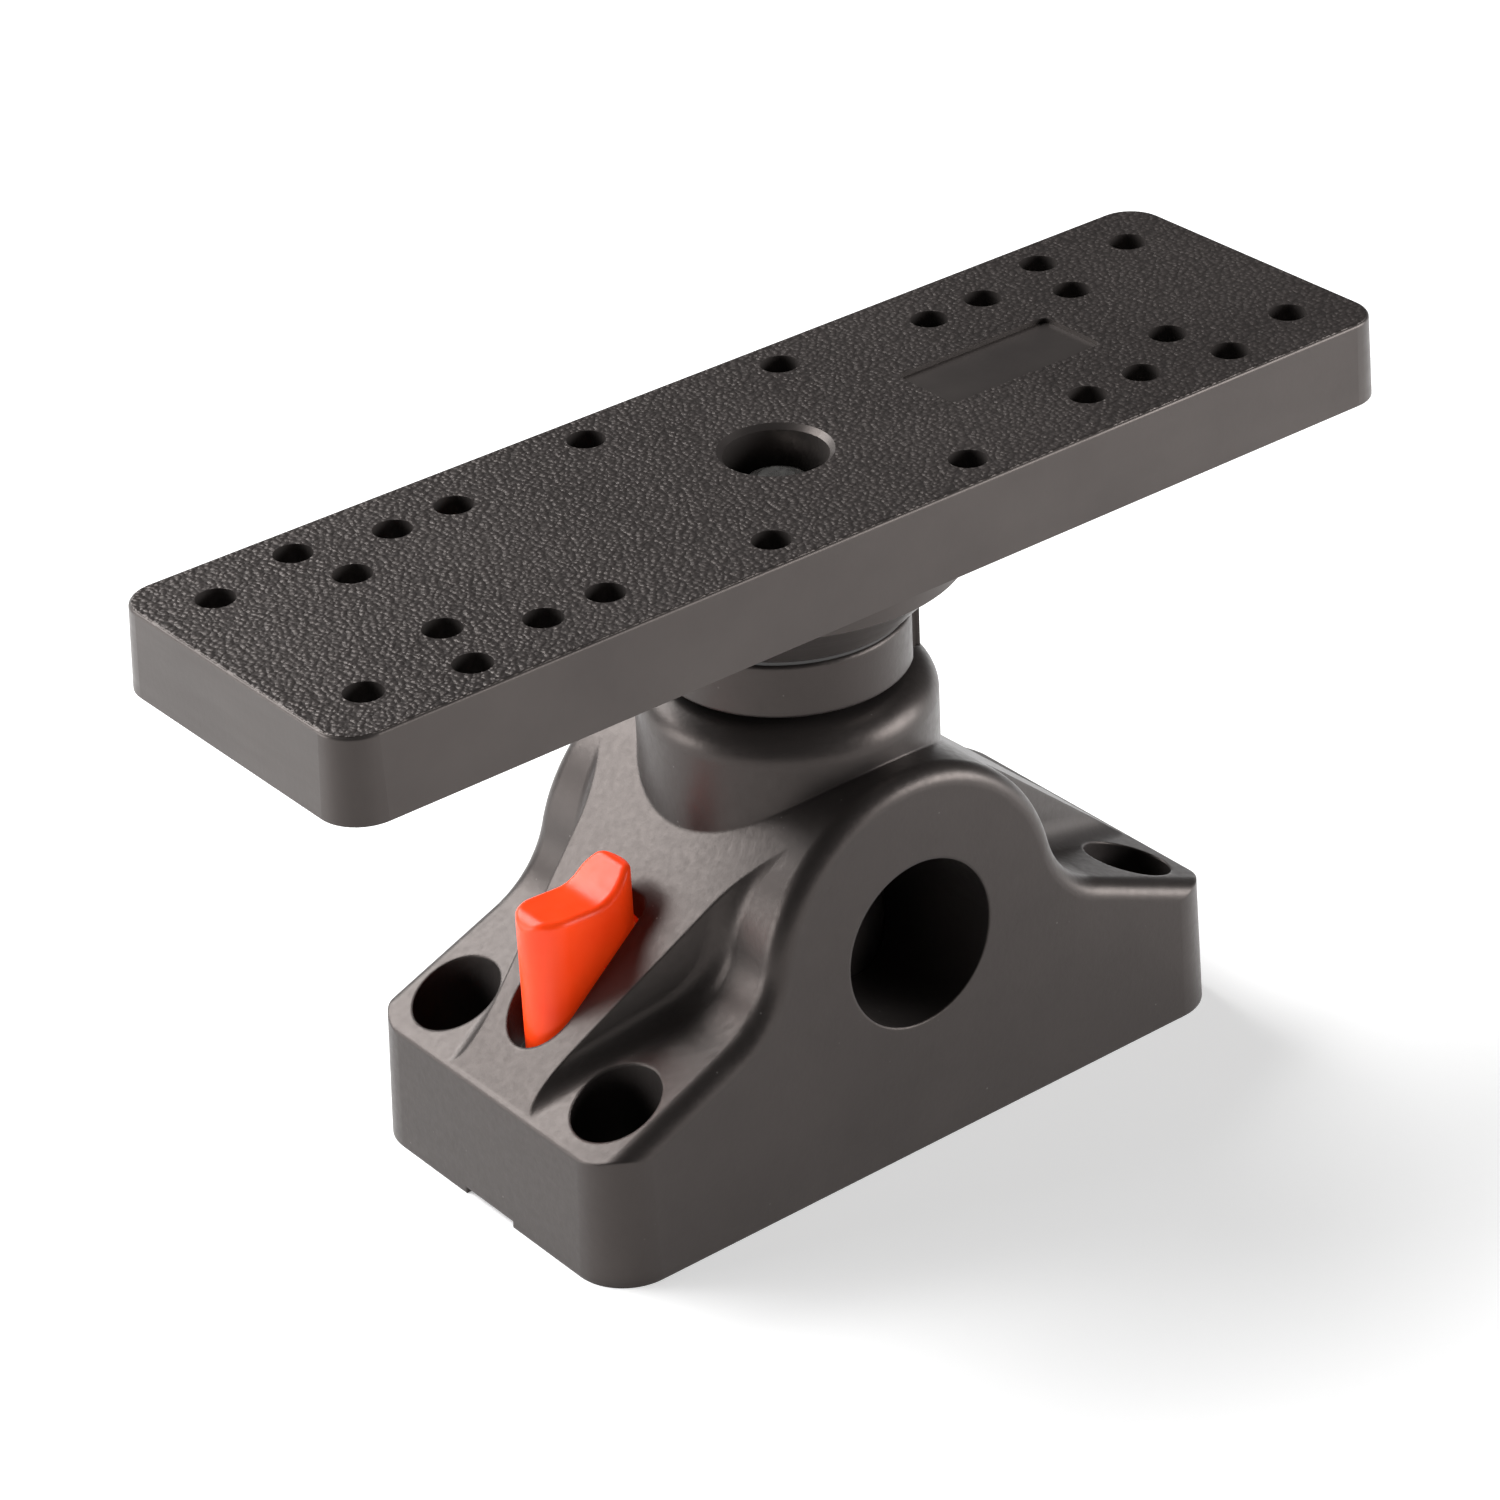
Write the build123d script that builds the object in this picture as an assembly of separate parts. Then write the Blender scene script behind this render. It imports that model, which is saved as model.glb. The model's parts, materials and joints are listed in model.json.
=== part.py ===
from build123d import *

import math
import os

# Swivel mounting plate on a quick-release deck base.
# Millimetres. Z is up, X runs along the base and the plate, the latch lever is on the -X ramp.
# The origin is the centre of the base's underside.

# ---- Stock that the base is cut from: its height, and how far cuts run past its ends
STOCK_H = 75.0
OVERSIZE = 4.0

# ---- Base footprint and side profile
BASE_LENGTH = 113.0
BASE_WIDTH = 58.2
BASE_CORNER_R = 8.0
BASE_DRAFT = 2.4
CHEEK_R = 26.0
BORE_Z = 32.8
SLAB_SLOPE = 0.42
SLAB_LINE_Z = 42.67
SLAB_BLEND_R = 14.5
SIDE_EDGE_R, END_EDGE_R = 2.8, 0.8
END_NOTCH = (11.0, 1.0)

# ---- Ramps, tangent to the round cheeks, and collar
RAMP_FOOT_X, RAMP_FOOT_HALF = 54.9, 7.4
RAMP_SPLAY = 0.345
RAMP_DRAFT = 2.5
RAMP_COVE_R = 3.8
COLLAR_R = 21.3
COLLAR_TOP_Z = 66.0
COLLAR_EDGE_R = 4.6

# ---- Sockets: one upright for the post, one crosswise through the cheeks
SOCKET_R = 12.6
SOCKET_FLOOR_Z = 15.0

# ---- Base fixing screws
SCREW_X, SCREW_Y = 46.8, 18.6
COUNTERBORE_R, SCREW_HOLE_R = 6.4, 3.25
SCREW_SEAT_Z = 6.0
SCREW_BOSS_R = 8.6

# ---- Hollow underside
WALL = 3.6
RIB = 3.0
CENTRE_POCKET_TOP_Z = 11.0
MID_RIB_X = 17.0
POCKET_BEND_X = 36.0
CENTRE_RIB_Y = (-14.0, 0.0, 14.0)

# ---- Swivel post
POST_R = 12.5
HUB_R = 18.0
HUB_Z = (67.3, 75.4)
KEY_R, KEY_ARC = 18.8, (-38.0, -16.0)
GROOVE_ANGLE, GROOVE_R = -43.4, 1.6
WRENCH_BORE_R = 7.0
DETENT_R, DETENT_DEPTH = 3.7, 3.0

# ---- M6 pivot bolt and its stack
BOLT_R = 3.0
BOLT_END_Z = 95.3
BOLT_LENGTH = 35.0
HEX_AF, HEAD_H = 10.0, 4.0
HEX_CORNER_R = HEX_AF / math.sqrt(3)
DISC_Z = (75.4, 76.15)
SEAT_Z = 85.8
FLANGE_H = 1.0
SPRING_WASHER_H, WASHER_H = 0.8, 1.0
NUT_H, NUT_HEX_H = 6.0, 4.4
NUT_DOME_R, NUT_INSERT_R, NUT_LIP = 4.7, 3.9, 0.6
WASHER_R, FLANGE_R = 6.2, 6.6
BUSH_R = 4.5
SLIP = 0.05
BOLT_GAP = 0.15

# ---- Mounting plate
PLATE_LENGTH, PLATE_WIDTH = 179.0, 52.8
PLATE_Z = (86.7, 99.2)
PLATE_CORNER_R = 5.5
PLATE_DRAFT = 3.0
PLATE_SKIN, PLATE_WALL, PLATE_RIB = 3.6, 3.0, 2.0
PLATE_RIB_Y = (-13.0, 0.0, 13.0)
PLATE_RIB_X = (-72.5, -56.8, -34.0, 34.0, 56.8, 72.5)
PLATE_TOP_EDGE_R = 0.6
BOSS_TOP_R, BOSS_LOW_R = 26.2, 18.8
BOSS_EASE = 0.6
BOSS_FLARE_MID, BOSS_FLARE_TOP_Z = (21.3, 79.6), 84.0
NUT_RECESS_R = 7.4
PLATE_HOLE_R = 2.75
PLATE_HOLE_BOSS_R = 4.6
PLATE_HOLES = [(79.7, 16.8), (65.3, 20.2), (62.8, 10.1), (51.7, 16.8), (41.7, 16.8), (17.0, 20.2)]
LABEL_CENTRE_X, LABEL_SIZE, LABEL_DEPTH = 40.3, (27.5, 12.2), 0.7

# ---- Latch lever
PIVOT_X, PIVOT_Z = -38.0, 21.0
LEVER_HALF = 4.5
LEVER_HUB_R = 4.6
LEVER_FRONT_X = -47.4
LEVER_BACK_X = -29.7
LEVER_TOP_Z = 44.1
LEVER_CREST_Z = 47.5
LEVER_DISH_X, LEVER_CREST_X = -36.4, -31.7
LEVER_NOSE_R, LEVER_DISH_R, LEVER_CREST_R = 2.0, 5.0, 1.5
LEVER_HEEL_R, LEVER_RIM_R = 4.4, 1.0
LEVER_POCKET_Z = (26.8, 37.0)
LEVER_SIDE_PLAY = 0.35
SLOT_X = (-49.5, -29.3)
SLOT_BACK_R = 2.0
SLOT_Y = (-5.3, 6.5)
LATCH_BLOCK_X = (-52.5, -22.0)
LATCH_BLOCK_HALF = 13.0
LATCH_BLOCK_Z = 19.5
PIVOT_PIN_R, PIVOT_PIN_HALF = 1.5, 7.5
KEEPER_X, KEEPER_HALF, KEEPER_T = (-42.8, -24.0), 9.3, 2.0
KEEPER_SCREW_X, KEEPER_SCREW_Y = -27.3, 5.0
KEEPER_SCREW_R, KEEPER_SCREW_TOP_Z = 1.25, 26.0
KEEPER_HEAD_R, KEEPER_HEAD_H, KEEPER_DRIVE_R = 2.3, 1.8, 0.9
KEEPER_FORK_X = (-45.5, -32.0)

# ---- Plunger, its spring and bushes
PLUNGER_R = 3.5
PLUNGER_TIP_X = -10.3
PLUNGER_FLANGE_X = (-19.9, -18.3)
PLUNGER_FLANGE_R = 4.7
PLUNGER_ROD_R = 2.2
SPRING_CHAMBER_R = 5.0
GUIDE_R = 5.0
GUIDE_X = (-18.0, -13.4)
SPRING_BUSH_X = (-29.2, -27.2)
SPRING_R, SPRING_WIRE_R, SPRING_TURNS = 3.9, 0.4, 4.5
CROSS_PIN_X, CROSS_PIN_R, CROSS_PIN_HALF = -36.0, 1.25, 4.2
CROSS_SLOT_HALF, CROSS_SLOT_Z = 1.35, (BORE_Z - 1.6, BORE_Z + 1.45)
TANG_HALF, TANG_HEIGHT = 2.0, 5.6

os.makedirs("parts", exist_ok=True)


def save(shape, node):
    export_step(shape, f"parts/{node}.step")


def rod_z(radius, low, high, x=0.0, y=0.0):
    return Pos(x, y, (low + high) / 2) * Cylinder(radius, high - low)


def rod_x(radius, low, high, y=0.0, z=BORE_Z):
    return Pos((low + high) / 2, y, z) * Rot(0, 90, 0) * Cylinder(radius, high - low)


def rod_y(radius, low, high, x=0.0, z=BORE_Z):
    return Pos(x, (low + high) / 2, z) * Rot(90, 0, 0) * Cylinder(radius, high - low)


def block(x, y, z):
    size = (x[1] - x[0], y[1] - y[0], z[1] - z[0])
    return Pos(sum(x) / 2, sum(y) / 2, sum(z) / 2) * Box(*size)


def ring(inner, outer, low, high):
    return rod_z(outer, low, high) - rod_z(inner, low - 1, high + 1)


def side_prism(points, half_width):
    """A closed outline in X and Z, drawn out along Y both ways."""
    face = Plane.XZ * make_face(Polyline(*points, close=True))
    return extrude(face, half_width, both=True)


def hexagon(across_flats, low, high):
    face = Pos(0, 0, low) * RegularPolygon(across_flats / 2, 6, major_radius=False)
    return extrude(face, high - low)


def four_ways(points):
    return [(sx * x, sy * y) for x, y in points for sx in (-1, 1) for sy in (-1, 1)]


# ------------------------------------------------------------------ base housing
def drafted_block():
    face = RectangleRounded(BASE_LENGTH, BASE_WIDTH, BASE_CORNER_R)
    return extrude(face, STOCK_H, taper=BASE_DRAFT)


def drafted_bar(width, plane):
    """A long bar whose two sides lean in by the base's draft."""
    low = width / 2
    high = low - STOCK_H * math.tan(math.radians(BASE_DRAFT))
    outline = Polyline((-low, 0), (low, 0), (high, STOCK_H), (-high, STOCK_H), close=True)
    return extrude(plane * make_face(outline), BASE_LENGTH, both=True)


def slab_top(x):
    return SLAB_LINE_Z - SLAB_SLOPE * abs(x)


def is_upright(edge):
    box = edge.bounding_box().size
    return box.Z > 4 * max(box.X, box.Y)


def slab():
    """Footings and round cheeks: one side profile across the full width, its edges rounded."""
    reach = BASE_LENGTH / 2 + OVERSIZE
    wedge = [(-reach, 0), (reach, 0), (reach, slab_top(reach)), (0, SLAB_LINE_Z),
             (-reach, slab_top(reach))]
    body = side_prism(wedge, BASE_WIDTH) + rod_y(CHEEK_R, -BASE_WIDTH, BASE_WIDTH)
    valleys = [e for e in body.edges().filter_by(Axis.Y)
               if 20 < abs(e.center().X) < CHEEK_R and e.center().Z > 25]
    body = fillet(valleys, SLAB_BLEND_R) & drafted_bar(BASE_WIDTH, Plane.YZ)
    sides = [e for e in body.edges() if e.center().Z > 15 and e.bounding_box().size.X > 1]
    body = fillet(sides, SIDE_EDGE_R) & drafted_bar(BASE_LENGTH, Plane.XZ)
    ends = [e for e in body.edges().filter_by(Axis.Y)
            if abs(e.center().X) > BASE_LENGTH / 2 - 3 and e.center().Z > 12]
    return fillet(ends, END_EDGE_R)


def ramp_angle():
    """Slope of the line from the ramp's foot that just touches the round cheek."""
    drop = BORE_Z - slab_top(RAMP_FOOT_X)
    reach = math.hypot(RAMP_FOOT_X, drop)
    return math.asin(CHEEK_R / reach) + math.atan2(drop, RAMP_FOOT_X)


def ramp_half(x):
    return RAMP_FOOT_HALF + RAMP_SPLAY * (RAMP_FOOT_X - abs(x))


def ramps(body):
    """A ramp on each side of the collar, splayed towards the cheeks, with a cove along its foot."""
    angle = ramp_angle()
    meet_x, meet_z = CHEEK_R * math.sin(angle), BORE_Z + CHEEK_R * math.cos(angle)
    reach = BASE_LENGTH / 2 + OVERSIZE
    plan = [(x, ramp_half(x)) for x in (reach, meet_x, -meet_x, -reach)]
    plan += [(x, -y) for x, y in reversed(plan)]
    walled = body + extrude(make_face(Polyline(*plan, close=True)), STOCK_H, taper=RAMP_DRAFT)
    feet = [e for e in walled.edges() if 15 < e.center().Z < 62 and abs(e.center().Y) < 22
            and e.bounding_box().size.X > 1 and not is_upright(e)]
    walled = fillet(feet, RAMP_COVE_R)
    far_x = RAMP_FOOT_X + 1
    far_z = meet_z - (far_x - meet_x) * math.tan(angle)
    under = side_prism([(-far_x, 0), (-meet_x, 0), (-meet_x, meet_z), (-far_x, far_z)], BASE_WIDTH)
    ramp = walled & under
    return ramp + mirror(ramp, Plane.YZ)


def collar():
    body = rod_z(COLLAR_R, 20, COLLAR_TOP_Z)
    return fillet(body.edges().filter_by(GeomType.CIRCLE).sort_by(Axis.Z)[-1], COLLAR_EDGE_R)


def underside_pockets():
    half = BASE_WIDTH / 2 - WALL - 0.6
    low_x, high_x = MID_RIB_X, BASE_LENGTH / 2 - WALL - 0.4
    roof = SLAB_LINE_Z - WALL - 1.2
    outline = [(low_x, -1), (high_x, -1), (high_x, roof - SLAB_SLOPE * high_x),
               (POCKET_BEND_X, roof - SLAB_SLOPE * POCKET_BEND_X),
               (low_x, roof - SLAB_SLOPE * POCKET_BEND_X)]
    pocket = side_prism(outline, half)
    pocket = fillet([e for e in pocket.edges().filter_by(Axis.Z)
                     if e.center().X > BASE_LENGTH / 3], 4.0)
    for y in (-SCREW_Y, SCREW_Y):
        pocket -= rod_z(SCREW_BOSS_R, -2, 40, SCREW_X, y)
    latch_end = mirror(pocket, Plane.YZ) - block(LATCH_BLOCK_X, (-LATCH_BLOCK_HALF, LATCH_BLOCK_HALF),
                                                 (LATCH_BLOCK_Z, 60))
    pocket -= block((low_x - 1, high_x + 1), (-RIB / 2, RIB / 2), (6, 40))
    centre = block((RIB - MID_RIB_X, MID_RIB_X - RIB), (-half, half), (-1, CENTRE_POCKET_TOP_Z))
    for y in CENTRE_RIB_Y:
        centre -= block((-MID_RIB_X, MID_RIB_X), (y - RIB / 2, y + RIB / 2), (-1, 20))
    return [pocket, latch_end, centre]


def lever_slot():
    """Slot down through the -X ramp, round at the outer end and eased at the inner corners."""
    width = SLOT_Y[1] - SLOT_Y[0]
    cut = block(SLOT_X, SLOT_Y, (-1, 60))
    cut = fillet([e for e in cut.edges().filter_by(Axis.Z) if e.center().X < PIVOT_X],
                 width / 2 - SLIP)
    return fillet([e for e in cut.edges().filter_by(Axis.Z) if e.center().X > SLOT_X[1] - 0.1],
                  SLOT_BACK_R)


def base_housing():
    body = slab()
    body = (body + ramps(body)) & drafted_block()
    body += collar()
    for pocket in underside_pockets():
        body -= pocket
    body -= rod_z(SOCKET_R, SOCKET_FLOOR_Z, COLLAR_TOP_Z + 1)
    body -= rod_y(SOCKET_R, -40, 40)
    for x, y in four_ways([(SCREW_X, SCREW_Y)]):
        body -= rod_z(COUNTERBORE_R, SCREW_SEAT_Z, 60, x, y) + rod_z(SCREW_HOLE_R, -1, 10, x, y)
    body -= lever_slot()
    body -= rod_x(SPRING_CHAMBER_R, SPRING_BUSH_X[0] - 1, GUIDE_X[1] + 2)
    pin_r = PIVOT_PIN_R + 0.02
    body -= rod_y(pin_r, -PIVOT_PIN_HALF, PIVOT_PIN_HALF, PIVOT_X, PIVOT_Z)
    body -= block((PIVOT_X - pin_r, PIVOT_X + pin_r), (-PIVOT_PIN_HALF, PIVOT_PIN_HALF),
                  (LATCH_BLOCK_Z - 1, PIVOT_Z))
    for y in (-KEEPER_SCREW_Y, KEEPER_SCREW_Y):
        body -= rod_z(KEEPER_SCREW_R, LATCH_BLOCK_Z - 1, KEEPER_SCREW_TOP_Z, KEEPER_SCREW_X, y)
    for side in (-1, 1):
        x = side * BASE_LENGTH / 2
        body -= block((x - 6, x + 6), (-END_NOTCH[0] / 2, END_NOTCH[0] / 2), (-1, END_NOTCH[1]))
    return body


# ------------------------------------------------------------------ swivel post and pivot stack
def head_z():
    top = BOLT_END_Z - BOLT_LENGTH
    return top - HEAD_H, top


def swivel_post():
    shank = rod_z(POST_R, SOCKET_FLOOR_Z, HUB_Z[0])
    shank = chamfer(shank.edges().filter_by(GeomType.CIRCLE).sort_by(Axis.Z)[0], 1.0)
    hub = rod_z(HUB_R, *HUB_Z)
    hub = fillet(hub.edges().filter_by(GeomType.CIRCLE), 0.5)
    sector = Pos(0, 0, HUB_Z[0] + 0.5) * make_face(
        Polyline((0, 0), *[(30 * math.cos(math.radians(a)), 30 * math.sin(math.radians(a)))
                           for a in KEY_ARC], close=True))
    key = extrude(sector, HUB_Z[1] - HUB_Z[0] - 1.0) & rod_z(KEY_R, *HUB_Z)
    angle = math.radians(GROOVE_ANGLE)
    groove = rod_z(GROOVE_R, HUB_Z[0] - 1, HUB_Z[1] + 1,
                   (HUB_R + 0.2) * math.cos(angle), (HUB_R + 0.2) * math.sin(angle))
    body = shank + hub + key - groove
    low, high = head_z()
    body -= rod_z(WRENCH_BORE_R, 0, low)
    body -= hexagon(HEX_AF + 0.2, low - 1, high)
    body -= rod_z(BOLT_R + BOLT_GAP, high - 1, HUB_Z[1] + 1)
    for x in (-1, 1):
        body -= rod_x(DETENT_R, min(x * POST_R * 1.2, x * (POST_R - DETENT_DEPTH)),
                      max(x * POST_R * 1.2, x * (POST_R - DETENT_DEPTH)))
        body -= rod_y(DETENT_R, min(x * POST_R * 1.2, x * (POST_R - DETENT_DEPTH)),
                      max(x * POST_R * 1.2, x * (POST_R - DETENT_DEPTH)))
    return body


def pivot_bolt():
    low, high = head_z()
    head = hexagon(HEX_AF, low, high) & chamfered_disc(HEX_CORNER_R, low, high, 0.6)
    shank = rod_z(BOLT_R, high, BOLT_END_Z)
    shank = chamfer(shank.edges().filter_by(GeomType.CIRCLE).sort_by(Axis.Z)[-1], 0.5)
    return head + shank


def chamfered_disc(radius, low, high, cut):
    disc = rod_z(radius, low, high)
    return chamfer(disc.edges().filter_by(GeomType.CIRCLE).sort_by(Axis.Z)[0], cut)


def friction_disc():
    return ring(BOLT_R + BOLT_GAP, HUB_R - 0.4, *DISC_Z)


def stack_z():
    """Heights of the faces above the bush flange: spring washer, flat washer, nut."""
    spring = SEAT_Z + FLANGE_H + SLIP
    washer = spring + SPRING_WASHER_H
    nut = washer + WASHER_H
    return spring, washer, nut


def spring_washer():
    """Shallow conical washer."""
    low, high = stack_z()[:2]
    thick, inner = 0.45, BOLT_R + BOLT_GAP
    outline = Polyline((inner, high - thick), (WASHER_R, low), (WASHER_R, low + thick),
                       (inner, high), close=True)
    return revolve(Plane.XZ * make_face(outline), Axis.Z)


def flat_washer():
    return ring(BOLT_R + BOLT_GAP, WASHER_R, *stack_z()[1:])


def lock_nut():
    """Hexagon nut with a round collar above it that is rolled over a nylon ring."""
    low = stack_z()[2]
    high = low + NUT_H
    hex_top = low + NUT_HEX_H
    dome = rod_z(NUT_DOME_R, low, high)
    dome = fillet(dome.edges().filter_by(GeomType.CIRCLE).sort_by(Axis.Z)[-1], 0.9)
    cone = chamfered_disc(HEX_CORNER_R, low, hex_top, 0.5)
    cone = chamfer(cone.edges().filter_by(GeomType.CIRCLE).sort_by(Axis.Z)[-1], 0.5)
    body = (hexagon(HEX_AF, low, hex_top) & cone) + dome - rod_z(BOLT_R, low - 1, high + 1)
    return body - rod_z(NUT_INSERT_R, *insert_z())


def insert_z():
    low = stack_z()[2]
    return low + NUT_HEX_H - 0.4, low + NUT_H - NUT_LIP


def nut_insert():
    return ring(BOLT_R, NUT_INSERT_R, *insert_z())


# ------------------------------------------------------------------ mounting plate
def plate_outline(z, grow=0.0):
    return Pos(0, 0, z) * RectangleRounded(PLATE_LENGTH + 2 * grow, PLATE_WIDTH + 2 * grow,
                                           PLATE_CORNER_R + grow)


def mount_plate():
    low, high = PLATE_Z
    flare = math.tan(math.radians(PLATE_DRAFT)) * (high - low)
    body = extrude(plate_outline(low, flare), high - low, taper=PLATE_DRAFT)
    body = fillet(body.faces().sort_by(Axis.Z)[-1].edges(), PLATE_TOP_EDGE_R)
    inner = PLATE_WALL + PLATE_TOP_EDGE_R
    hollow = extrude(Pos(0, 0, low) * RectangleRounded(
        PLATE_LENGTH - 2 * inner, PLATE_WIDTH - 2 * inner, PLATE_CORNER_R - inner),
        high - low - PLATE_SKIN)
    half_l, half_w = PLATE_LENGTH / 2, PLATE_WIDTH / 2
    for y in PLATE_RIB_Y:
        hollow -= block((-half_l, half_l), (y - PLATE_RIB / 2, y + PLATE_RIB / 2), (low, high))
    for x in PLATE_RIB_X:
        hollow -= block((x - PLATE_RIB / 2, x + PLATE_RIB / 2), (-half_w, half_w), (low, high))
    for x, y in four_ways(PLATE_HOLES):
        hollow -= rod_z(PLATE_HOLE_BOSS_R, low - 1, high, x, y)
    hollow -= rod_z(BOSS_TOP_R, low - 1, high)
    body = body - hollow + plate_boss()
    for x, y in four_ways(PLATE_HOLES):
        body -= rod_z(PLATE_HOLE_R, low - 5, high + 1, x, y)
    body -= rod_z(NUT_RECESS_R, SEAT_Z, high + 1)
    rim = [e for e in body.edges().filter_by(GeomType.CIRCLE)
           if abs(e.radius - NUT_RECESS_R) < 0.01 and e.center().Z > high - 0.1]
    body = chamfer(rim, 0.75)
    body -= rod_z(BUSH_R, DISC_Z[1] - 1, high)
    label = Pos(LABEL_CENTRE_X, 0, high - LABEL_DEPTH) * RectangleRounded(*LABEL_SIZE, 1.2)
    return body - extrude(label, 2)


def plate_boss():
    """Round boss that flares out into the plate's underside."""
    low, high = DISC_Z[1] + SLIP, PLATE_Z[0] + 1.0
    start = (BOSS_LOW_R, low + BOSS_EASE)
    rim = (BOSS_TOP_R, BOSS_FLARE_TOP_Z)
    outline = (Polyline(rim, (BOSS_TOP_R, high), (0, high), (0, low),
                        (BOSS_LOW_R - BOSS_EASE, low), start)
               + ThreePointArc(start, BOSS_FLARE_MID, rim))
    return revolve(Plane.XZ * make_face(outline), Axis.Z)


def pivot_bush():
    low = DISC_Z[1] + SLIP
    tube = ring(BOLT_R + SLIP, BUSH_R, low, SEAT_Z)
    return tube + ring(BOLT_R + SLIP, FLANGE_R, SEAT_Z, SEAT_Z + FLANGE_H)


# ------------------------------------------------------------------ latch
def lever_blank():
    """Side profile of the lever, its crest at the back and a dish for the thumb before it."""
    front, back = LEVER_FRONT_X, LEVER_BACK_X
    nose, dish = (front, LEVER_TOP_Z), (LEVER_DISH_X, LEVER_TOP_Z - 0.5)
    crest = (LEVER_CREST_X, LEVER_CREST_Z)
    profile = [(front, PIVOT_Z + 0.5), nose, dish, crest, (back, LEVER_CREST_Z - 0.8),
               (back, PIVOT_Z + 5.0), (PIVOT_X + 3.5, PIVOT_Z - 2.9), (PIVOT_X - 2.6, PIVOT_Z - 3.7)]
    body = side_prism(profile, LEVER_HALF)
    for (x, z), radius in ((nose, LEVER_NOSE_R), (dish, LEVER_DISH_R), (crest, LEVER_CREST_R)):
        corner = [e for e in body.edges().filter_by(Axis.Y)
                  if abs(e.center().X - x) < 0.1 and abs(e.center().Z - z) < 0.1]
        body = fillet(corner, radius)
    return body + rod_y(LEVER_HUB_R, -LEVER_HALF, LEVER_HALF, PIVOT_X, PIVOT_Z)


def lever_plan():
    """Outline from above: a round nose and a nearly round heel."""
    front, back = LEVER_FRONT_X, LEVER_BACK_X
    plan = block((front, back), (-LEVER_HALF, LEVER_HALF), (10, 60))
    plan = fillet([e for e in plan.edges().filter_by(Axis.Z) if e.center().X < front + 0.1],
                  LEVER_HALF - 0.1)
    return fillet([e for e in plan.edges().filter_by(Axis.Z) if e.center().X > back - 0.1],
                  LEVER_HEEL_R)


def latch_lever():
    body = lever_blank() & lever_plan()
    rim = [e for e in body.edges() if e.center().Z > 40 and not is_upright(e)
           and e.bounding_box().size.X > 0.05 and e.bounding_box().size.Y < 2 * LEVER_HALF - 1.5]
    body = fillet(rim, LEVER_RIM_R)
    body -= rod_y(PIVOT_PIN_R + SLIP, -10, 10, PIVOT_X, PIVOT_Z)
    fork = TANG_HALF + LEVER_SIDE_PLAY
    body -= block((CROSS_PIN_X - 4.8, LEVER_BACK_X + 1), (-fork, fork), LEVER_POCKET_Z)
    return body - block((CROSS_PIN_X - CROSS_SLOT_HALF, CROSS_PIN_X + CROSS_SLOT_HALF), (-10, 10),
                        CROSS_SLOT_Z)


def lock_plunger():
    tip = rod_x(PLUNGER_R, PLUNGER_FLANGE_X[1], PLUNGER_TIP_X)
    tip = fillet(tip.edges().filter_by(GeomType.CIRCLE).sort_by(Axis.X)[-1], 0.8)
    body = tip + rod_x(PLUNGER_FLANGE_R, *PLUNGER_FLANGE_X)
    tang_low = CROSS_PIN_X - 2.6
    tang_high = CROSS_PIN_X + 3.0
    body += rod_x(PLUNGER_ROD_R, tang_high - 1, PLUNGER_FLANGE_X[0])
    tang = block((tang_low, tang_high), (-TANG_HALF, TANG_HALF),
                 (BORE_Z - TANG_HEIGHT / 2, BORE_Z + TANG_HEIGHT / 2))
    tang = fillet([e for e in tang.edges().filter_by(Axis.Y) if e.center().X < CROSS_PIN_X], 2.5)
    return body + tang - rod_y(CROSS_PIN_R, -5, 5, CROSS_PIN_X)


def plunger_spring():
    """Compression spring between the spring bush and the plunger's flange."""
    low, high = SPRING_BUSH_X[1] + SPRING_WIRE_R, PLUNGER_FLANGE_X[0] - SPRING_WIRE_R
    length = high - low - 0.1
    path = Helix(length / SPRING_TURNS, length, SPRING_R)
    wire = Plane(path @ 0, z_dir=path % 0) * Circle(SPRING_WIRE_R)
    coil = sweep(wire, path=path, is_frenet=True)
    return Pos(low + 0.05, 0, BORE_Z) * Rot(0, 90, 0) * coil


def spring_bush():
    x = SPRING_BUSH_X
    return rod_x(SPRING_CHAMBER_R, *x) - rod_x(PLUNGER_ROD_R + 0.05, x[0] - 1, x[1] + 1)


def plunger_guide():
    x = GUIDE_X
    return rod_x(GUIDE_R, *x) - rod_x(PLUNGER_R + SLIP, x[0] - 1, x[1] + 1)


def pivot_keeper():
    """Forked plate under the latch block that closes the pin's open seats."""
    top = LATCH_BLOCK_Z
    plate = block(KEEPER_X, (-KEEPER_HALF, KEEPER_HALF), (top - KEEPER_T, top))
    plate = fillet(plate.edges().filter_by(Axis.Z), 1.5)
    plate -= block(KEEPER_FORK_X, (SLOT_Y[0] + 0.1, SLOT_Y[1] - 0.1), (0, 40))
    for y in (-KEEPER_SCREW_Y, KEEPER_SCREW_Y):
        plate -= rod_z(KEEPER_SCREW_R + 0.2, 0, 40, KEEPER_SCREW_X, y)
    return plate


def keeper_screws():
    top = LATCH_BLOCK_Z - KEEPER_T
    screws = []
    for y in (-KEEPER_SCREW_Y, KEEPER_SCREW_Y):
        head = rod_z(KEEPER_HEAD_R, top - KEEPER_HEAD_H, top, KEEPER_SCREW_X, y)
        head = fillet(head.edges().filter_by(GeomType.CIRCLE).sort_by(Axis.Z)[0], 0.8)
        head -= rod_z(KEEPER_DRIVE_R, top - 3, top - 0.8, KEEPER_SCREW_X, y)
        screws.append(head + rod_z(KEEPER_SCREW_R, top, KEEPER_SCREW_TOP_Z - 0.5, KEEPER_SCREW_X, y))
    return Compound(screws)


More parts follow.
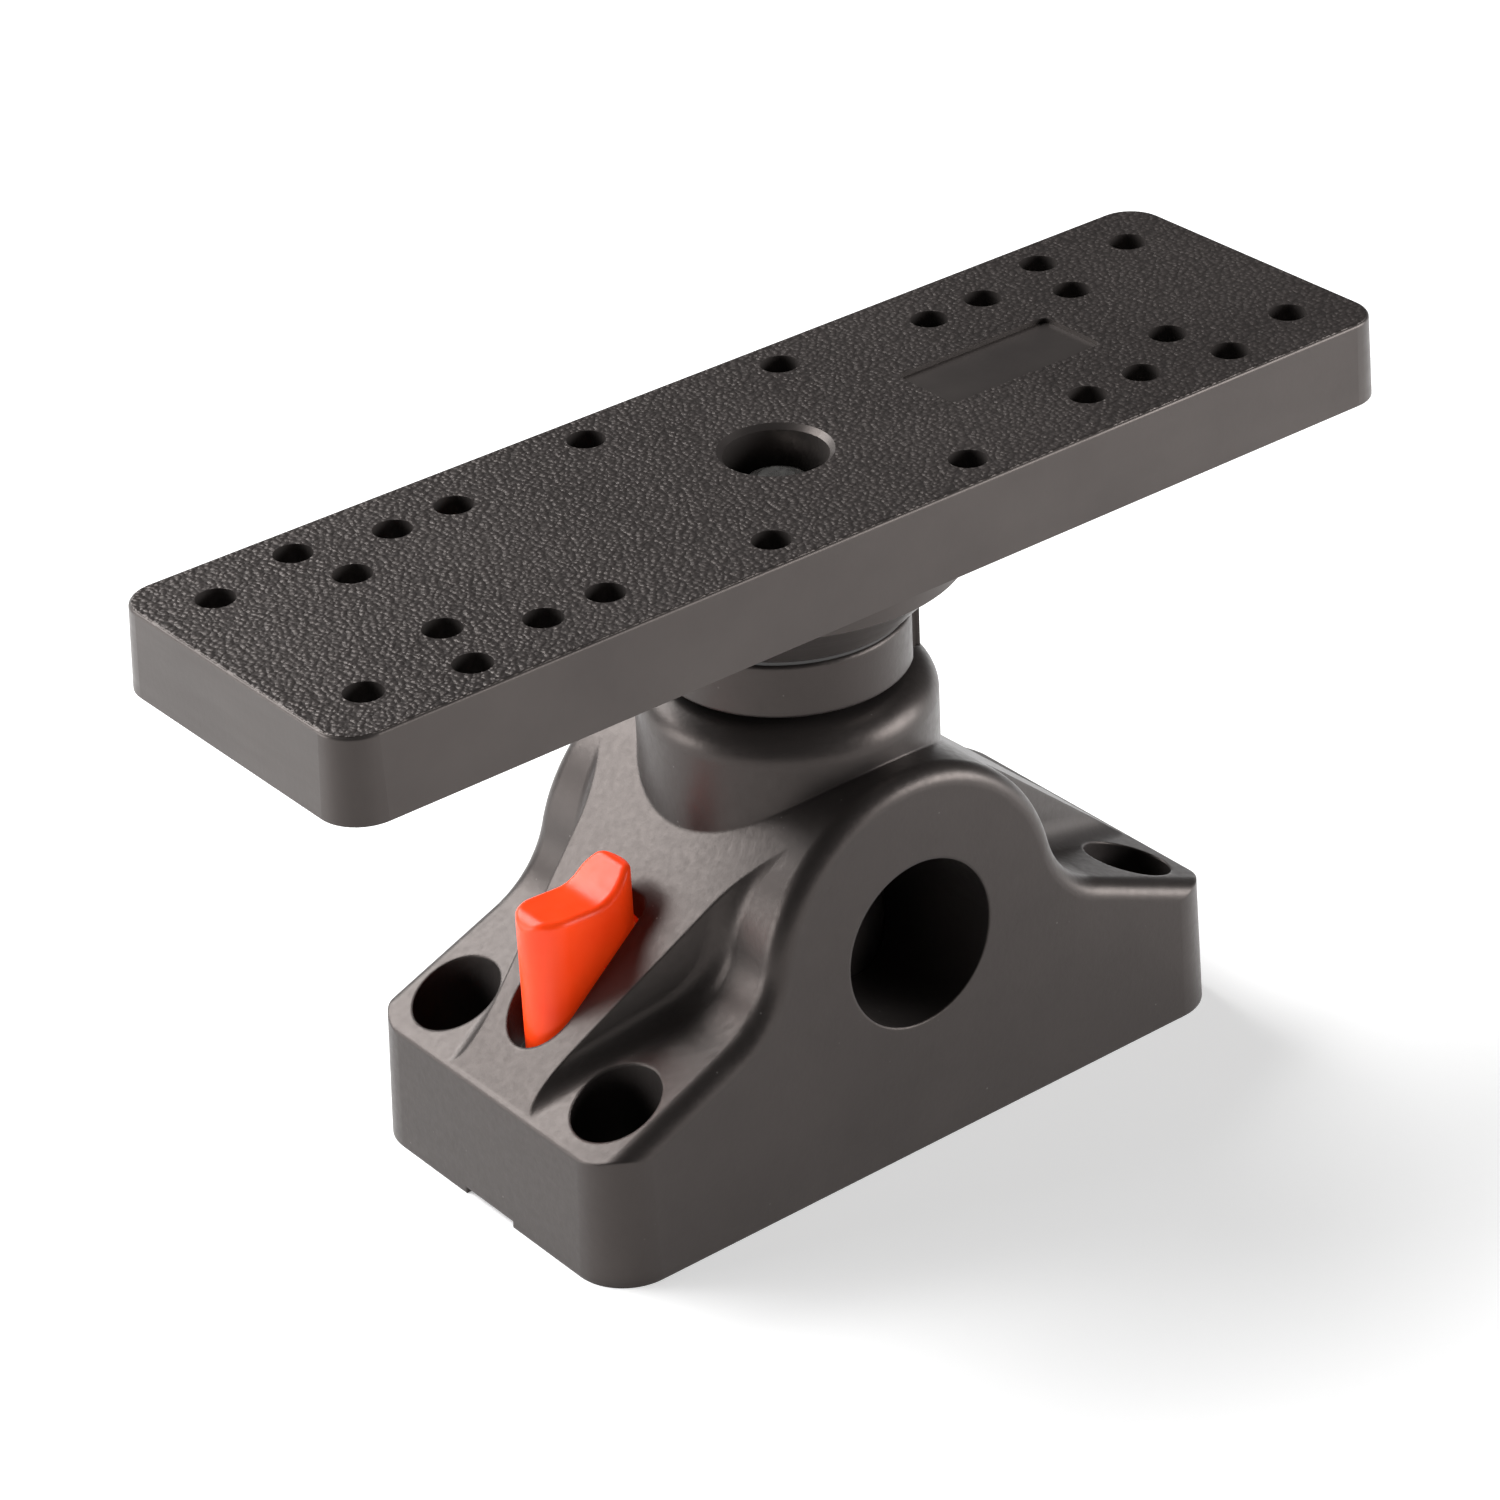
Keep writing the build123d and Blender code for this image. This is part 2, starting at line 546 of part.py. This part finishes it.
save(base_housing(), "base_housing")
save(swivel_post(), "swivel_post")
save(pivot_bolt(), "pivot_bolt")
save(friction_disc(), "friction_disc")
save(spring_washer(), "spring_washer")
save(flat_washer(), "flat_washer")
save(lock_nut(), "lock_nut")
save(nut_insert(), "nut_insert")
save(mount_plate(), "mount_plate")
save(pivot_bush(), "pivot_bush")
save(latch_lever(), "latch_lever")
save(rod_y(PIVOT_PIN_R, -PIVOT_PIN_HALF, PIVOT_PIN_HALF, PIVOT_X, PIVOT_Z), "lever_pivot_pin")
save(pivot_keeper(), "pivot_keeper")
save(keeper_screws(), "keeper_screws")
save(lock_plunger(), "lock_plunger")
save(rod_y(CROSS_PIN_R, -CROSS_PIN_HALF, CROSS_PIN_HALF, CROSS_PIN_X), "plunger_cross_pin")
save(plunger_spring(), "plunger_spring")
save(spring_bush(), "spring_bush")
save(plunger_guide(), "plunger_guide")
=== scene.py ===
import json
import math

import bpy
from mathutils import Matrix, Vector


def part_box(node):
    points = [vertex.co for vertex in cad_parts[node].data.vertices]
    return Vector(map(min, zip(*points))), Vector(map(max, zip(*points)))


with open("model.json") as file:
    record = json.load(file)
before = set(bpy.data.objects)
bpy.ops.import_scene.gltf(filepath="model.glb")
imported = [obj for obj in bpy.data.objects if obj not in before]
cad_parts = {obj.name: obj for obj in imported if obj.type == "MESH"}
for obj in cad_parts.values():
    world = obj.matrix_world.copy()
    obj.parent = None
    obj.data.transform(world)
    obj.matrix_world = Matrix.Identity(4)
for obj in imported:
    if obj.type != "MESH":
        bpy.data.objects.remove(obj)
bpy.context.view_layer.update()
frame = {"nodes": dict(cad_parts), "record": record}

# Looks of the swivel plate on its latching deck base. Metres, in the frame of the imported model:
# Z up, X along the plate, the red latch lever on the -X ramp.

MM = 0.001
NODES = frame["nodes"]

# ---- Camera: a long lens from above the latch end
AZIMUTH, ELEVATION, ROLL = 37.183, 30.141, -2.884
LENS, SENSOR = 118.94, 36.0
CAMERA_OFFSET = (3.464 * MM, 40.799 * MM, 671.907 * MM)   # plate's top centre, in camera axes

# ---- Studio
WORLD_LEVEL = 0.05
FLOOR_SIZE, FLOOR_GLOW = 6.0, 0.40
SOFTBOXES = (   # name, bearing from +X and height in degrees, distance, width and height, power
    ("key_back_left", 110, 40, 1.4, (1.2, 0.9), 34.0),
    ("low_left", 150, 8, 1.4, (0.7, 0.5), 9.0),
    ("front_right", 318, 12, 1.4, (0.9, 0.6), 21.0),
)
LIGHT_AIM_Z = 0.05

# ---- Finish shared by the black mouldings: how far sharp edges ease, and the tint of their gloss
EDGE_ROUND = 0.6 * MM
WARM_GLOSS = (1.0, 0.86, 0.80, 1.0)

# ---- Grain of the plate's top: how far below the top it may lie, and its relief
GRAIN_DEPTHS = (0.5 * MM, 0.2 * MM)
GRAIN_WANDER, GRAIN_RELIEF = 0.9 * MM, 0.16 * MM


# ------------------------------------------------------------------ material building
class Look:
    """A node material round one Principled shader, patterned in the object's own coordinates."""

    def __init__(self, name):
        self.material = bpy.data.materials.new(name)
        self.material.use_nodes = True
        self.tree = self.material.node_tree
        self.shader = self.tree.nodes["Principled BSDF"]
        self.place = self.node("TexCoord").outputs["Object"]

    def node(self, kind, **settings):
        made = self.tree.nodes.new("ShaderNode" + kind)
        for key, value in settings.items():
            setattr(made, key, value)
        return made

    def feed(self, socket, value):
        if isinstance(value, bpy.types.NodeSocket):
            self.tree.links.new(value, socket)
        else:
            socket.default_value = value

    def math(self, operation, a, b):
        made = self.node("Math", operation=operation)
        self.feed(made.inputs[0], a)
        self.feed(made.inputs[1], b)
        return made.outputs[0]

    def noise(self, scale, detail=2.0, roughness=0.5, place=None):
        made = self.node("TexNoise")
        self.feed(made.inputs["Vector"], place or self.place)
        self.feed(made.inputs["Scale"], scale)
        self.feed(made.inputs["Detail"], detail)
        self.feed(made.inputs["Roughness"], roughness)
        return made.outputs["Fac"]

    def cells(self, scale, feature="F1", place=None, smooth=None):
        made = self.node("TexVoronoi", feature=feature)
        self.feed(made.inputs["Vector"], place or self.place)
        self.feed(made.inputs["Scale"], scale)
        if smooth is not None:
            self.feed(made.inputs["Smoothness"], smooth)
        return made.outputs["Distance"]

    def stretched(self, x, y, z):
        made = self.node("Mapping")
        self.feed(made.inputs["Vector"], self.place)
        self.feed(made.inputs["Scale"], (x, y, z))
        return made.outputs["Vector"]

    def remap(self, value, low, high, to_low, to_high):
        made = self.node("MapRange")
        for name, number in (("Value", value), ("From Min", low), ("From Max", high),
                             ("To Min", to_low), ("To Max", to_high)):
            self.feed(made.inputs[name], number)
        return made.outputs["Result"]

    def blend(self, factor, a, b):
        made = self.node("Mix", data_type="RGBA")
        self.feed(made.inputs[0], factor)
        self.feed(made.inputs[6], a)
        self.feed(made.inputs[7], b)
        return made.outputs[2]

    def bump(self, height, distance, strength=1.0, below=None):
        made = self.node("Bump")
        self.feed(made.inputs["Height"], height)
        self.feed(made.inputs["Distance"], distance)
        self.feed(made.inputs["Strength"], strength)
        if below is not None:
            self.feed(made.inputs["Normal"], below)
        return made.outputs["Normal"]

    def rounded(self, radius):
        """A normal that eases sharp edges, as moulding does."""
        made = self.node("Bevel", samples=6)
        self.feed(made.inputs["Radius"], radius)
        return made.outputs["Normal"]

    def set(self, **inputs):
        """Feed the shader's sockets, named with underscores for spaces, and return the material."""
        for key, value in inputs.items():
            self.feed(self.shader.inputs[key.replace("_", " ")], value)
        return self.material


def rgb(r, g, b):
    return (r, g, b, 1.0)


def moulded_nylon(name, dark, light, rough):
    """Glass-filled nylon: faint flow mottling, a fine spark finish and scattered fibre specks."""
    look = Look(name)
    flow = look.noise(55.0, 4.0, 0.6)
    fine = look.noise(900.0, 3.0, 0.6)
    tone = look.blend(look.remap(flow, 0.3, 0.7, 0.0, 1.0), rgb(*dark), rgb(*light))
    speck = look.remap(look.cells(620.0), 0.0, 0.12, 1.0, 0.0)
    rare = look.remap(look.noise(180.0, 1.0), 0.62, 0.7, 0.0, 0.5)
    colour = look.blend(look.math("MULTIPLY", speck, rare), tone, rgb(0.30, 0.29, 0.27))
    finish = look.remap(fine, 0.3, 0.7, rough - 0.04, rough + 0.05)
    normal = look.bump(fine, 0.05 * MM, 0.5, look.rounded(EDGE_ROUND))
    look.set(Specular_Tint=WARM_GLOSS)
    return look.set(Base_Color=colour, Roughness=finish, Normal=normal)


def grained_plate():
    """The plate: leather grain on its flat top, satin draft-polished sides painted a lighter tone
    as painted light.
    """
    look = Look("plate nylon")
    split = look.node("SeparateXYZ")
    look.feed(split.inputs[0], look.node("TexCoord").outputs["Normal"])
    place = look.node("SeparateXYZ")
    look.feed(place.inputs[0], look.place)
    top_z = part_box("mount_plate")[1].z
    facing = look.remap(split.outputs["Z"], 0.80, 0.97, 0.0, 1.0)
    low, high = (top_z - depth for depth in GRAIN_DEPTHS)
    near_top = look.remap(place.outputs["Z"], low, high, 0.0, 1.0)
    grained = look.math("MULTIPLY", facing, near_top)

    warp = look.node("VectorMath", operation="ADD")
    wander = look.node("TexNoise")
    look.feed(wander.inputs["Vector"], look.place)
    look.feed(wander.inputs["Scale"], 420.0)
    small = look.node("VectorMath", operation="SCALE")
    look.feed(small.inputs[0], wander.outputs["Color"])
    look.feed(small.inputs["Scale"], GRAIN_WANDER)
    look.feed(warp.inputs[0], look.place)
    look.feed(warp.inputs[1], small.outputs[0])
    pebbles = look.cells(1250.0, "SMOOTH_F1", warp.outputs[0], 0.35)
    dome = look.remap(pebbles, 0.15, 0.75, 1.0, 0.0)
    rough_bits = look.noise(2400.0, 2.0, 0.6)
    grain = look.math("ADD", dome, look.math("MULTIPLY", rough_bits, 0.35))

    flow = look.noise(45.0, 4.0, 0.6)
    # Flow mottling on the sides is real; their base tone, lighter than the top's, is painted light
    # for the brighter light they catch.
    painted_lit_side_tone = look.blend(look.remap(flow, 0.3, 0.7, 0.0, 1.0), rgb(0.030, 0.0265, 0.0255),
                           rgb(0.044, 0.039, 0.037))
    top_tone = look.blend(look.remap(grain, 0.2, 1.1, 0.0, 1.0), rgb(0.019, 0.0165, 0.016),
                          rgb(0.036, 0.031, 0.030))
    colour = look.blend(grained, painted_lit_side_tone, top_tone)
    brushed = look.noise(160.0, 3.0, 0.6, look.stretched(0.25, 0.25, 3.0))
    rough = look.math("ADD", look.remap(grained, 0.0, 1.0, 0.36, 0.44),
                      look.remap(brushed, 0.3, 0.7, -0.05, 0.05))
    fine = look.bump(look.noise(1100.0, 2.0), 0.03 * MM, 0.4)
    height = look.math("MULTIPLY", grain, grained)
    normal = look.bump(height, GRAIN_RELIEF, 0.9, fine)
    look.set(Specular_Tint=WARM_GLOSS)
    return look.set(Base_Color=colour, Roughness=rough, Normal=normal)


def red_plastic():
    """Satin orange-red with a weak painted glow, an emission that lifts its shaded side as painted
    light.
    """
    look = Look("lever red")
    flow = look.noise(140.0, 3.0, 0.5)
    colour = look.blend(look.remap(flow, 0.3, 0.7, 0.0, 1.0), rgb(1.0, 0.050, 0.004),
                        rgb(1.0, 0.064, 0.007))
    rough = look.remap(look.noise(700.0, 2.0), 0.3, 0.7, 0.33, 0.41)
    normal = look.bump(look.noise(900.0, 2.0), 0.02 * MM, 0.4)
    # Painted light: the emission brightens the lever's shaded side.
    look.set(Specular_IOR_Level=0.32, Emission_Color=colour, Emission_Strength=0.22)
    return look.set(Base_Color=colour, Roughness=rough, Normal=normal)


def turned_metal(name, tone, lighter, rough):
    """Machined metal with fine tool marks round its surfaces and slight tarnish."""
    look = Look(name)
    marks = look.noise(2600.0, 3.0, 0.7, look.stretched(0.12, 0.12, 1.0))
    tarnish = look.noise(130.0, 4.0, 0.6)
    colour = look.blend(look.remap(tarnish, 0.35, 0.7, 0.0, 1.0), rgb(*tone), rgb(*lighter))
    finish = look.remap(marks, 0.3, 0.7, rough - 0.06, rough + 0.08)
    look.set(Metallic=1.0)
    return look.set(Base_Color=colour, Roughness=finish, Normal=look.bump(marks, 0.02 * MM, 0.5))


def plain_plastic(name, tone, lighter, rough):
    """Clean moulded or turned plastic with faint cloudiness."""
    look = Look(name)
    cloud = look.noise(300.0, 3.0, 0.5)
    colour = look.blend(look.remap(cloud, 0.3, 0.7, 0.0, 1.0), rgb(*tone), rgb(*lighter))
    finish = look.remap(look.noise(1200.0, 2.0), 0.3, 0.7, rough - 0.05, rough + 0.05)
    return look.set(Base_Color=colour, Roughness=finish,
                    Normal=look.bump(look.noise(1500.0, 2.0), 0.02 * MM, 0.4))


def finishes():
    """Give every CAD node the material of its slot in the record."""
    nylon = moulded_nylon("housing nylon", (0.020, 0.0175, 0.017), (0.027, 0.0235, 0.0225), 0.37)
    post = moulded_nylon("post nylon", (0.019, 0.0165, 0.016), (0.026, 0.0225, 0.0215), 0.36)
    plate = grained_plate()
    red = red_plastic()
    steel = turned_metal("stainless", (0.56, 0.55, 0.53), (0.70, 0.69, 0.67), 0.26)
    brass = turned_metal("brass", (0.58, 0.42, 0.17), (0.72, 0.55, 0.26), 0.28)
    acetal = plain_plastic("acetal", (0.030, 0.029, 0.028), (0.045, 0.043, 0.042), 0.35)
    ring = plain_plastic("nylon ring", (0.62, 0.64, 0.60), (0.74, 0.75, 0.72), 0.30)
    by_slot = {"housing_nylon": nylon, "post_nylon": post, "plate_nylon": plate, "lever_red": red,
               "stainless": steel, "brass": brass, "acetal": acetal, "nylon_ring": ring}
    for part in frame["record"]["subparts"]:
        for slot in NODES[part["node"]].material_slots:
            slot.material = by_slot[part["material_slot"]]


# ------------------------------------------------------------------ camera, floor and light
def place_camera():
    """A camera set off from the centre of the plate's top, looking down along its bearing."""
    azimuth, elevation, roll = (math.radians(a) for a in (AZIMUTH, ELEVATION, ROLL))
    forward = Vector((math.sin(azimuth) * math.cos(elevation),
                      math.cos(azimuth) * math.cos(elevation), -math.sin(elevation)))
    level = Vector((math.cos(azimuth), -math.sin(azimuth), 0.0))
    upright = level.cross(forward)
    right = level * math.cos(roll) + upright * math.sin(roll)
    up = upright * math.cos(roll) - level * math.sin(roll)
    low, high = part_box("mount_plate")
    target = Vector(((low.x + high.x) / 2, (low.y + high.y) / 2, high.z))
    across, above, ahead = CAMERA_OFFSET
    camera = bpy.data.objects.new("camera", bpy.data.cameras.new("camera"))
    camera.data.lens = LENS
    camera.data.sensor_width = SENSOR
    camera.data.clip_start = 0.01
    camera.data.dof.use_dof = False
    axes = Matrix((right, up, -forward)).transposed().to_4x4()
    axes.translation = target - right * across - up * above - forward * ahead
    camera.matrix_world = axes
    bpy.context.scene.collection.objects.link(camera)
    bpy.context.scene.camera = camera


def lay_floor():
    mesh = bpy.data.meshes.new("floor")
    half = FLOOR_SIZE / 2
    corners = [(-half, -half, 0.0), (half, -half, 0.0), (half, half, 0.0), (-half, half, 0.0)]
    mesh.from_pydata(corners, [], [(0, 1, 2, 3)])
    floor = bpy.data.objects.new("floor", mesh)
    bpy.context.scene.collection.objects.link(floor)
    look = Look("floor paper")
    shade = look.blend(look.noise(3.0, 2.0), rgb(0.86, 0.86, 0.86), rgb(0.90, 0.90, 0.90))
    look.set(Base_Color=shade, Roughness=0.9)
    look.set(Emission_Color=rgb(1.0, 1.0, 1.0), Emission_Strength=FLOOR_GLOW)
    mesh.materials.append(look.material)


def softbox(name, bearing, height, distance, size, power):
    """A rectangular light on a sphere round the object, facing its middle."""
    light = bpy.data.lights.new(name, "AREA")
    light.shape = "RECTANGLE"
    light.size, light.size_y = size
    light.energy = power
    holder = bpy.data.objects.new(name, light)
    turn, rise = math.radians(bearing), math.radians(height)
    aim = Vector((math.cos(rise) * math.cos(turn), math.cos(rise) * math.sin(turn),
                  math.sin(rise)))
    holder.location = aim * distance + Vector((0.0, 0.0, LIGHT_AIM_Z))
    holder.rotation_euler = aim.to_track_quat("Z", "Y").to_euler()
    bpy.context.scene.collection.objects.link(holder)


def light_studio():
    """Softboxes round the object and a faint even light from the sky."""
    world = bpy.data.worlds.new("studio")
    world.use_nodes = True
    world.node_tree.nodes["Background"].inputs["Color"].default_value = rgb(1.0, 1.0, 1.0)
    world.node_tree.nodes["Background"].inputs["Strength"].default_value = WORLD_LEVEL
    bpy.context.scene.world = world
    bpy.context.scene.view_settings.view_transform = "Standard"
    for settings in SOFTBOXES:
        softbox(*settings)


place_camera()
lay_floor()
light_studio()
finishes()
